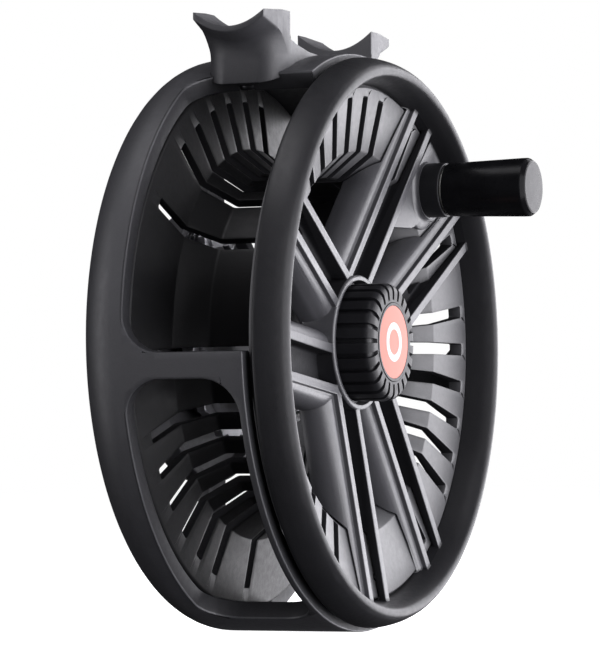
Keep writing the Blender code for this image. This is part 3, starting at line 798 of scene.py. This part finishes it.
def foot():
    """The foot: two saddles with toes, joined by a web, on a floor that fits the cage."""
    step = 0.02
    halves = [TOE_TIP_X, 26.7, 26.0, 25.3, 24.7, 24.3, 24.0, 23.7, 23.4, 23.1, 22.9, 22.7, 22.5,
              22.38, POST_X + step, POST_X, 22.28, 22.2, 22.0, 21.7, 21.3, 20.8, 20.2, 19.5, 18.8,
              POST_X - POST_CORNER, TOE_IN_X, TOE_IN_X - step, 16.6, 15.3, 14.0, 12.0, 10.0, 8.0,
              6.0, 3.0, 0.0]
    xs = [-a for a in halves] + halves[-2::-1]
    body = stations("foot_body", [foot_section(x) for x in xs])
    for deg in SCREW_DEG:
        cut(body, cross_pin("bolt_hole", deg, 46.0, 53.2, 1.3, FOOT_Y))
    clean(body, 0.03)
    soften(body, 0.22, 50.0)
    cut(body, rod("floor", SEAT_R - 0.02, 0.0, 40.0, seg=240))
    dress(body, CHARCOAL, "frame", "reel_foot")


def socket_screw(name, degrees):
    """Screw from inside the cage into the foot, with a hexagon socket."""
    head = cross_pin(name + "_fine", degrees, 47.0, 47.8, 2.0, FOOT_Y, 48)
    merge(head, cross_pin("shank", degrees, 47.5, 52.8, 1.0, FOOT_Y, 32), "UNION")
    merge(head, cross_pin("socket", degrees, 46.0, 47.4, 0.9, FOOT_Y, 6))
    clean(head)
    soften(head, 0.12)
    dress(head, SCREW_STEEL, "frame", name)


# --- spool --------------------------------------------------------------------------------

def rim():
    """The spool's front rim."""
    nose = flowing([(49.3, 4.9), (49.05, 3.6), (48.6, 2.2), (48.05, 1.1), (47.6, 0.5),
                    (47.15, 0.12), (46.6, 0.0), (46.1, 0.15), (45.7, 0.7), (45.2, 2.0),
                    (44.85, 3.8), (44.6, RIM_BACK_Y - 0.2)], 4)
    back = [(44.8, RIM_BACK_Y), (49.1, RIM_BACK_Y), (49.3, RIM_BACK_Y - 0.2)]
    return lathe("spool_core_body", back + nose, seg=RIM_SEG)


def spoke(pair_deg, side):
    """One spoke: rounded shoulders, two ribs and the deep channel between them."""
    loops = []
    for along in (7.0, 44.95):
        y = RIB_Y25 + RIB_SLOPE * (along - 25.0)
        shoulder = y + RIB_RISE
        right = [(RIB_OUT_W + FLANK_W, shoulder + FLANK_D + 1.2)]
        for k in range(13):
            out, back = polar(1.0, 7.5 * k)
            right.append((RIB_OUT_W + FLANK_W * out, shoulder + FLANK_D * (1.0 - back)))
        right += [(RIB_OUT_W, y), (RIB_IN_W, y), (RIB_IN_W, y + CHANNEL_DEPTH)]
        outline = right + [(-o, d) for o, d in reversed(right)]
        sizes = [0.0] * 14 + [0.18, 0.18, 0.6]
        loop = rounded(outline, sizes + sizes[::-1], 5)
        across = [(along, side * SPOKE_OFFSET + o) for o, _ in loop]
        spots = radial_points(pair_deg + side * SPLAY_DEG, across)
        loops.append([(x, d, z) for (x, z), (_, d) in zip(spots, loop)])
    return stations("spoke", loops)


def in_channel(spot, _normal):
    """True for a face between the two ribs of a spoke."""
    x, y, z = spot
    for pair in PAIR_DEG:
        for side in (1, -1):
            ux, uz = polar(1.0, pair + side * SPLAY_DEG)
            along = x * ux + z * uz
            across = z * ux - x * uz - side * SPOKE_OFFSET
            depth = y - RIB_Y25 - RIB_SLOPE * (along - 25.0)
            if 8.0 < along < 44.9 and abs(across) < RIB_IN_W + 0.05 and depth > 0.3:
                return True
    return False


def screw_spot(pair_deg):
    """Where a cassette screw enters the back of a rib, as (x, z)."""
    spots = [(SCREW_ALONG, (RIB_IN_W + RIB_OUT_W) / 2 - SPOKE_OFFSET)]
    return radial_points(pair_deg - SPLAY_DEG, spots)[0]


def arc_corner(r, y, size):
    """Quarter round from a front face at y to a side at radius r."""
    return [(r - size + size * math.sin(a), y + size - size * math.cos(a))
            for a in (math.radians(15.0 * k) for k in range(7))]


def handle_plate():
    """Bridge between the handle's two spokes, level with their shoulders."""
    ux, uz = polar(1.0, PAIR_DEG[0])
    front = []
    for x, z in PLATE_OUTLINE:
        along = x * ux + z * uz
        front.append((x, RIB_Y25 + RIB_RISE + RIB_SLOPE * (along - 25.0), z))
    return stations("handle_plate", [front, [(x, 7.9, z) for x, _, z in front]])


def spool_core():
    """Rim, hub, six spokes and the handle's plate, in one moulding."""
    body = rim()
    hub = lathe("hub", [
        (4.0, COLLAR_Y), *arc_corner(HUB_R, COLLAR_Y, 0.5), (HUB_R, 13.5),
        (HUB_TUBE_R, 15.0), (HUB_TUBE_R, HUB_BACK_Y), (4.0, HUB_BACK_Y)])
    join(body, hub)
    for pair in PAIR_DEG:
        for side in (1, -1):
            join(body, spoke(pair, side))
    join(body, handle_plate())
    flare = [(BOSS_R - 1.0, 7.0), (BOSS_R - 1.0, FLARE_Y), (BOSS_R + 0.15, FLARE_Y)]
    for k in range(9):
        out, back = polar(1.1, 180.0 + 11.25 * k)
        flare.append((BOSS_R + 1.25 + out, FLARE_Y - back))
    flare += [(BOSS_R + 2.1, FLARE_Y + 1.6), (BOSS_R + 2.1, 7.0)]
    join(body, lathe("flare", flare, HANDLE_AT, 96))
    tools = [
        lathe("bore", [(0.0, -1.0), (CAP_R + 0.6, -1.0), (CAP_R + 0.6, HUB_FRONT_Y),
                       (5.6, HUB_FRONT_Y), (5.6, 15.0), (6.5, 15.0), (6.5, 30.0), (0.0, 30.0)]),
        lathe("keep_out", [(27.0, 12.4), (28.5, 12.6), (33.0, 6.8), (44.45, 4.9),
                           (44.5, RIM_BACK_Y), (47.5, RIM_BACK_Y), (47.5, 26.0), (27.0, 26.0)],
              seg=RIM_SEG),
        rod("boss_seat", BOSS_R + 0.03, 0.0, BOSS_BACK_Y + 0.1, HANDLE_AT, 96),
        rod("post_hole", 2.1, 4.0, 12.0, HANDLE_AT)]
    for pair in PAIR_DEG:
        for side in (1, -1):
            spots = rounded([(26.5, -2.2), (42.5, -2.2), (42.5, 2.2), (26.5, 2.2)], 0.4)
            spots = [(along, side * SPOKE_OFFSET + across) for along, across in spots]
            tools.append(slab("channel_window", radial_points(pair + side * SPLAY_DEG, spots),
                              0.0, 20.0))
        tools.append(rod("screw_hole", 0.6, 4.5, 9.0, screw_spot(pair), 32))
    for tool in tools:
        cut(body, tool)
    clean(body)
    soften(body, 0.16)
    dress(body, SPOOL_GREY, "spool", "spool_core")
    # painted shade between the two ribs of every spoke
    paint_shade_on_faces(body, RECESS_SHADE, in_channel)


def in_slot(spot, normal):
    """True for a side wall of one of the cassette's radial slots."""
    x, _, z = spot
    return abs(normal.z * x - normal.x * z) > 0.8 * math.hypot(x, z)


def cassette():
    """The drum that holds the line, with radial slots in its walls."""
    profile = [(46.2, 6.1), (44.2, 6.1), (44.2, 5.2), (33.2, 7.1), (28.7, 12.8), (28.7, 22.8),
               (33.6, 28.6), (46.3, 30.6), (46.3, 29.1), (34.2, 27.1), (30.2, 22.2), (30.2, 13.4),
               (34.0, 8.6), (46.2, 7.6)]
    sizes = [0.2, 0.0, 0.2, 0.5, 1.2, 1.2, 0.5, 0.6, 0.6, 0.5, 1.0, 1.0, 0.5, 0.2]
    body = lathe("cassette_body", rounded(profile, sizes), seg=RIM_SEG)
    for pair in PAIR_DEG:
        for k in SLOT_PLACES:
            merge(body, radial_box("slot", pair + SLOT_STEP * k, SLOT_IN_R, SLOT_OUT_R, SLOT_W,
                                   3.0, 32.0, 0.4))
        merge(body, rod("screw_hole", 0.8, 4.0, 9.0, screw_spot(pair), 32))
    merge(body, rod("post_room", 3.6, 4.0, 10.0, HANDLE_AT))
    clean(body)
    soften(body, 0.14)
    dress(body, CASSETTE_BLACK, "spool", "line_cassette")
    # painted shade on the side walls of the cassette's slots
    paint_shade_on_faces(body, RECESS_SHADE, in_slot)


def turned(name, profile, edge, look, body, centre=(0.0, 0.0), seg=MID_SEG):
    """A plain turned piece that stands for the CAD node of the same name."""
    made = lathe(name + "_fine", rounded(profile, turned_corners(profile, edge)), centre, seg)
    return dress(made, look, body, name)


def washer(r_in, r_out, y0, y1):
    """Profile of a flat ring."""
    return [(r_in, y0), (r_out, y0), (r_out, y1), (r_in, y1)]


# --- cap, knob, handle and drag -----------------------------------------------------------

def flute_turns(half):
    """Directions for a fluted piece, close together at the shoulders of every groove."""
    near = (-1.0, -0.45, 0.0, 0.45, 1.0)
    parts = [sign * (half + 0.012 * n) for n in near for sign in (-1, 1)]
    parts += [0.0, -half * 0.5, half * 0.5, -0.3, 0.3, -0.4, 0.4, 0.5]
    return [360.0 * (k + part) / FLUTES for k in range(FLUTES) for part in sorted(parts)]


def flute_depth(degrees, half):
    """1 in a groove and 0 on a land; half is the groove's half width in pitches."""
    away = abs((degrees * FLUTES / 360.0 + 0.5) % 1.0 - 0.5)
    t = max(0.0, min(1.0, (half + 0.012 - away) / 0.024))
    return t * t * (3 - 2 * t)


def cap():
    """The fluted cap in the middle of the spool."""
    profile = rounded([
        (6.85, 1.8), (6.85, CAP_FRONT_Y), (CAP_R, CAP_FRONT_Y), (CAP_R, 8.4),
        (5.2, 8.4), (5.2, 13.4), (3.5, 13.4), (3.5, 8.0), (0.0, 8.0), (0.0, 1.8)],
        [0.1, 0.12, 1.7, 0.3, 0.2, 0.2, 0.1, 0.0, 0.0, 0.0], 10)
    profile = refine(profile, 0.4)
    half = 0.17

    def groove(r, y, degrees):
        if r < 7.3:
            return r, y
        fade = min(1.0, (r - 7.3) / 0.25)
        sink = 0.6 * flute_depth(degrees, half) * fade
        lean = min(1.0, max(0.0, (y - CAP_FRONT_Y) / 1.7)) * math.pi / 2
        return r - sink * math.sin(lean), y + sink * math.cos(lean)
    made = lathe("spool_cap_fine", profile, flute=groove, turns=flute_turns(half))
    dress(made, KNOB_BLACK, "cap", "spool_cap")


def refine(outline, pitch):
    """Add points so that no straight stretch is longer than pitch."""
    out = []
    for i, here in enumerate(outline):
        after = outline[(i + 1) % len(outline)]
        gap = math.dist(here, after)
        parts = max(1, math.ceil(gap / pitch)) if max(here[0], after[0]) > 3.6 else 1
        out += [(here[0] + (after[0] - here[0]) * k / parts,
                 here[1] + (after[1] - here[1]) * k / parts) for k in range(parts)]
    return out


def badge():
    """Plain two-colour enamel disc with a thin dark edge and a pale ring."""
    turned("cap_badge", [(0.0, 1.16), (6.3, 1.16), (6.3, 1.5), (0.0, 1.5)], 0.04, SALMON, "cap")
    edge = lathe("badge_edge", rounded(washer(6.32, 6.8, 1.12, 1.6), 0.06))
    dress(edge, KNOB_BLACK, "cap", "cap_badge")
    ring = lathe("badge_ring", rounded(washer(2.2, 3.4, 1.1, 1.4), 0.05))
    dress(ring, PALE_ENAMEL, "cap", "cap_badge")


def drag_knob():
    """The fluted knob on the back."""
    profile = rounded([
        (3.3, 41.0), (KNOB_R, 41.0), (KNOB_R, 49.0), (11.0, 49.0), (10.4, 48.5), (6.2, 48.5),
        (5.6, 49.0), (5.4, 49.0), (5.4, 48.0), (0.0, 48.0), (0.0, 46.4), (3.3, 46.4)],
        [0.2, 0.5, 1.4, 0.4, 0.3, 0.3, 0.1, 0.1, 0.1, 0.0, 0.0, 0.0], 6)
    profile = refine(profile, 0.5)

    half = 0.2

    def groove(r, y, degrees):
        if r < KNOB_R - 2.0 or y < 42.2:
            return r, y
        fade = min(1.0, (y - 42.2) / 0.5) * min(1.0, (r - KNOB_R + 2.0) / 0.8)
        return r - 0.7 * flute_depth(degrees, half) * fade, y
    made = lathe("drag_knob_fine", profile, flute=groove, turns=flute_turns(half))
    dress(made, KNOB_BLACK, "knob", "drag_knob")


def click_gear():
    """Toothed ring round the drag drum."""
    outline = []
    for k in range(GEAR_TEETH):
        deg = 90.0 + 360.0 * k / GEAR_TEETH
        tip = deg + 180.0 / GEAR_TEETH
        outline += [polar(GEAR_ROOT_R, deg - 0.6), polar(GEAR_ROOT_R, deg + 0.6),
                    polar(GEAR_TIP_R, tip - 0.9), polar(GEAR_TIP_R, tip + 0.9)]
    bore = arc(DRUM_OUT_R + 0.3, 0.0, 360.0, 96)[:-1]
    made = plate("click_gear_fine", [outline, bore], 31.6, 33.2, 0.1)
    dress(made, STEEL, "spool", "click_gear")


def click_pawl():
    """Pointed pawl whose tip stands just over the gear's teeth."""
    px, pz = PAWL_AT
    tip_z = GEAR_ROOT_R + 0.35
    outline = [(px - 1.2, pz - 2.0), (px + 2.0, pz - 1.1), (-1.6, tip_z + 1.25),
               (-0.5, tip_z + 0.45), (0.0, tip_z), (0.5, tip_z + 0.45), (1.1, tip_z + 1.4),
               (1.1, tip_z + 2.6), (-1.0, pz + 1.7), (px + 1.4, pz + 2.2), (px - 1.6, pz + 2.2),
               (px - 2.6, pz + 0.6), (px - 2.4, pz - 1.2)]
    sizes = [0.8, 0.8, 0.6, 0.2, 0.12, 0.2, 0.3, 0.3, 0.8, 1.2, 0.8, 0.8, 0.8]
    bore = [(px + x, pz + z) for x, z in arc(0.98, 0.0, 360.0, 32)[:-1]]
    made = plate("click_pawl_fine", [rounded(outline, sizes, 6), bore], 31.7, 33.1, 0.12)
    dress(made, STEEL, "pawl", "click_pawl")


def click_spring():
    """Hairpin coil round the pawl pin with one leg lying on the pawl's back."""
    px, pz = PAWL_AT
    wire = bpy.data.curves.new("click_spring_fine", "CURVE")
    wire.dimensions = "3D"
    wire.bevel_depth = 0.25
    wire.bevel_resolution = 4
    wire.use_fill_caps = True
    path = [(px + 8.6, 34.1, pz + 1.75), (px + 3.0, 34.1, pz + 1.7)]
    for k in range(61):
        a = math.radians(90.0 + 15.0 * k)
        path.append((px + 1.7 * math.cos(a), 34.1 + 0.75 * k / 24, pz + 1.7 * math.sin(a)))
    path.append((px - 4.6, 36.0, pz - 1.7))
    spline = wire.splines.new("POLY")
    spline.points.add(len(path) - 1)
    for point, spot in zip(spline.points, path):
        point.co = (*place(*spot), 1.0)
    guide = bpy.data.objects.new("guide", wire)
    bpy.context.scene.collection.objects.link(guide)
    graph = bpy.context.evaluated_depsgraph_get()
    mesh = bpy.data.meshes.new_from_object(guide.evaluated_get(graph))
    bpy.data.objects.remove(guide, do_unlink=True)
    made = bpy.data.objects.new("click_spring_fine", mesh)
    bpy.context.scene.collection.objects.link(made)
    clean(made, MERGE)
    dress(made, STEEL, "pawl", "click_spring")


def handle_grip():
    """The tapered knob that the fingers turn."""
    profile = [(2.1, GRIP_BASE_Y), (GRIP_R0, GRIP_BASE_Y), (GRIP_R1, -13.6), (GRIP_R1, -14.5),
               (GRIP_R1 - 0.55, GRIP_END_Y + 0.12), (GRIP_R1 - 0.8, GRIP_END_Y),
               (0.0, GRIP_END_Y), (0.0, -14.0), (3.0, -14.0), (3.0, -11.6), (2.1, -11.6)]
    sizes = [0.0, 0.35, 0.0, 0.6, 0.2, 0.1, 0.0, 0.0, 0.1, 0.1, 0.1]
    made = lathe("handle_grip_fine", rounded(profile, sizes, 8), HANDLE_AT, 120)
    dress(made, GLOSS_BLACK, "handle", "handle_grip")


def handle_boss():
    """The crank's boss: a black turned seat standing on the bridge between two spokes."""
    profile = [(2.1, BOSS_FRONT_Y), (4.2, BOSS_FRONT_Y), (4.2, 1.0), (BOSS_R, 1.0),
               (BOSS_R, BOSS_BACK_Y), (2.1, BOSS_BACK_Y)]
    made = lathe("spool_core_boss", rounded(profile, [0.1, 0.0, 0.1, 0.25, 0.1, 0.1], 6),
                 HANDLE_AT, 96)
    dress(made, KNOB_BLACK, "spool", "spool_core")


def turned_pieces():
    """Every piece that is simply turned, as profile, edge, look, body and, for some, centre and
    segments.
    """
    turned("pawl_pin", [(0, 31.2), (0.9, 31.2), (0.9, 38.2), (0, 38.2)], 0.15, STEEL, "frame",
           PAWL_AT, SMALL_SEG)
    turned("friction_washer_rear", washer(5.0, 12.8, 36.0, 36.8), 0.1, CARBON, "frame")
    turned("knob_thrust_washer", washer(3.4, 9.0, 39.9, 40.6), 0.12, NYLON, "frame")
    turned("spindle", [(0, 10.2), (3, 10.2), (3, 14), (2.5, 14), (2.5, 14.9), (3, 14.9), (3, 27),
                       (8.5, 27), (8.5, 28.4), (3, 28.4), (3, 45.7), (0, 45.7)],
           [0, 0.5, 0.05, 0.05, 0.05, 0.05, 0.1, 0.15, 0.15, 0.1, 0.5, 0], STEEL, "draw_bolt")
    for name, y0 in (("disc_spring_front", 28.7), ("disc_spring_back", 29.8)):
        turned(name, washer(3.4, 8.3, y0, y0 + 0.7), 0.12, STEEL, "draw_bolt")
    turned("pressure_plate", washer(3.4, 11.8, 30.9, 32.1), 0.15, ALLOY, "draw_bolt")
    turned("friction_washer_front", washer(5.0, 11.8, 32.5, 33.4), 0.1, CARBON, "draw_bolt")
    for name, y0 in (("bush_front", 15.3), ("bush_back", 20.9)):
        turned(name, washer(3.08, 6.2, y0, y0 + 4.7), 0.2, BRONZE, "spool")
    turned("one_way_clutch", washer(HUB_TUBE_R + 0.3, DRUM_IN_R - 0.3, 20.6, 26.2), 0.2, STEEL,
           "spool")
    turned("drag_drum", [(3.5, 34.0), (DRUM_IN_R, 34.0), (DRUM_IN_R, 20.4), (DRUM_OUT_R, 20.4),
                         (DRUM_OUT_R, 35.2), (3.5, 35.2)], 0.25, ALLOY, "spool",
           seg=144)
    turned("handle_post", [(0, -13.6), (2.6, -13.6), (2.6, -11.9), (1.8, -11.9), (1.8, 6.95),
                           (3.2, 6.95), (3.2, 7.95), (1.0, 7.95), (1.0, 7.4), (0, 7.4)],
           [0, 0.3, 0.15, 0.1, 0.1, 0.15, 0.2, 0.1, 0.1, 0], STEEL, "spool",
           HANDLE_AT)
    turned("handle_washer", washer(2.1, 4.0, 0.75, 1.5), 0.1, NYLON, "spool",
           HANDLE_AT)
    turned("cap_washer", washer(5.7, 9.6, 8.7, 9.3), 0.15, RUBBER, "cap_seal")
    turned("knob_plug", [(0, 48.3), (5.1, 48.3), (5.1, 49.3), (0, 49.3)], 0.25, ALLOY, "knob")
    for number, pair in enumerate(PAIR_DEG, 1):
        turned(f"cassette_screw_{number}",
               [(0, 4.8), (0.5, 4.8), (0.5, 8.5), (1.2, 8.5), (1.2, 9.2), (0.6, 9.2), (0.6, 8.9),
                (0, 8.9)], 0.1, SCREW_STEEL, "spool", screw_spot(pair),
               SMALL_SEG)


def retaining_clip():
    """Open clip in the spindle's groove."""
    outline = arc(4.8, -70.0, 250.0, 40) + arc(2.7, 250.0, -70.0, 32)
    made = plate("retaining_clip_fine", [outline], 14.2, 14.7, 0.08)
    dress(made, SCREW_STEEL, "draw_bolt", "retaining_clip")


# --- studio -------------------------------------------------------------------------------

CAMERA_AZIMUTH = -66.1
CAMERA_ELEVATION = -2.04
CAMERA_ROLL = -0.28
CAMERA_REACH = 700.0
CAMERA_ACROSS = -17.28
CAMERA_UP = 2.145
FOCAL_PER_FRAME = 6.1555387
SENSOR = 36.0
LAMP_COLOUR = (0.965, 0.955, 1.0)
LAMP_TARGET_Y = 20.0
FLOOR_SIZE = 12.0
FLOOR_GAP = 0.0004
# Name, direction from the reel, distance, width and height in millimetres, and power in watts
LAMPS = (
    ("right_key", (0.90, -0.44, 0.12), 650, 520, 900, 8.5),
    ("front_key", (0.24, -0.97, 0.03), 700, 720, 950, 15.0),
    ("front_left", (-0.47, -0.88, 0.02), 700, 330, 1000, 7.0),
    ("top_strip", (-0.35, 0.1, 1.0), 600, 500, 260, 2.2),
    ("left_back_strip", (-0.62, 0.78, 0.1), 600, 200, 700, 2.2),
    ("camera_fill", (-0.92, -0.38, 0.25), 800, 700, 700, 0.55))


def studio_camera():
    """Camera fitted to the photograph's view."""
    a, e, roll = (math.radians(v) for v in (CAMERA_AZIMUTH, CAMERA_ELEVATION, CAMERA_ROLL))
    back = Vector((math.sin(a) * math.cos(e), -math.cos(a) * math.cos(e), math.sin(e)))
    right = Vector((0, 0, 1)).cross(back).normalized()
    up = back.cross(right)
    level = right * math.cos(roll) + up * math.sin(roll)
    tall = up * math.cos(roll) - right * math.sin(roll)
    spot = back * CAMERA_REACH + level * CAMERA_ACROSS + tall * CAMERA_UP
    data = bpy.data.cameras.new("studio_camera")
    data.sensor_width = SENSOR
    data.sensor_height = SENSOR
    data.sensor_fit = "AUTO"
    data.lens = FOCAL_PER_FRAME * SENSOR
    camera = bpy.data.objects.new("studio_camera", data)
    bpy.context.scene.collection.objects.link(camera)
    camera.matrix_world = (Matrix.Translation(place(*spot) * MM)
                           @ Matrix((level, tall, back)).transposed().to_4x4())
    bpy.context.scene.camera = camera


def softbox(name, direction, distance, width, height, power):
    """Rectangular lamp aimed at the reel's middle."""
    data = bpy.data.lights.new(name, "AREA")
    data.shape = "RECTANGLE"
    data.size = width * MM
    data.size_y = height * MM
    data.energy = power
    data.color = LAMP_COLOUR
    lamp = bpy.data.objects.new(name, data)
    bpy.context.scene.collection.objects.link(lamp)
    way = Vector(direction).normalized()
    lamp.location = (place(0.0, LAMP_TARGET_Y, 0.0) + way * distance) * MM
    lamp.rotation_mode = "QUATERNION"
    lamp.rotation_quaternion = (-way).to_track_quat("-Z", "Y")


def studio():
    """White floor and background that only the camera sees, and the lamps."""
    scene = bpy.context.scene
    scene.view_settings.view_transform = "Standard"
    world = bpy.data.worlds.new("pale_studio")
    world.use_nodes = True
    world.node_tree.nodes["Background"].inputs["Color"].default_value = (1, 1, 1, 1)
    world.node_tree.nodes["Background"].inputs["Strength"].default_value = 1.0
    world.cycles_visibility.diffuse = False
    world.cycles_visibility.glossy = False
    world.cycles_visibility.transmission = False
    scene.world = world
    low = min(cad_box[0].z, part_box("spool_core")[0].z)
    bpy.ops.mesh.primitive_plane_add(size=FLOOR_SIZE, location=(0, 0, low - FLOOR_GAP))
    floor = bpy.context.object
    floor.name = "studio_floor"
    look = Look("pale_floor")
    look.set(Base_Color=(0.86, 0.86, 0.86, 1), Roughness=0.7,
             Emission_Color=(1, 1, 1, 1), Emission_Strength=1.0)
    floor.data.materials.append(look.material)
    floor.visible_diffuse = False
    floor.visible_glossy = False
    floor.visible_shadow = False
    for lamp in LAMPS:
        softbox(*lamp)


cage_shell()
back_spider()
foot()
socket_screw("foot_screw_left", SCREW_DEG[0])
socket_screw("foot_screw_right", SCREW_DEG[1])
spool_core()
cassette()
cap()
badge()
drag_knob()
click_gear()
click_pawl()
click_spring()
handle_boss()
handle_grip()
turned_pieces()
retaining_clip()
studio_camera()
studio()
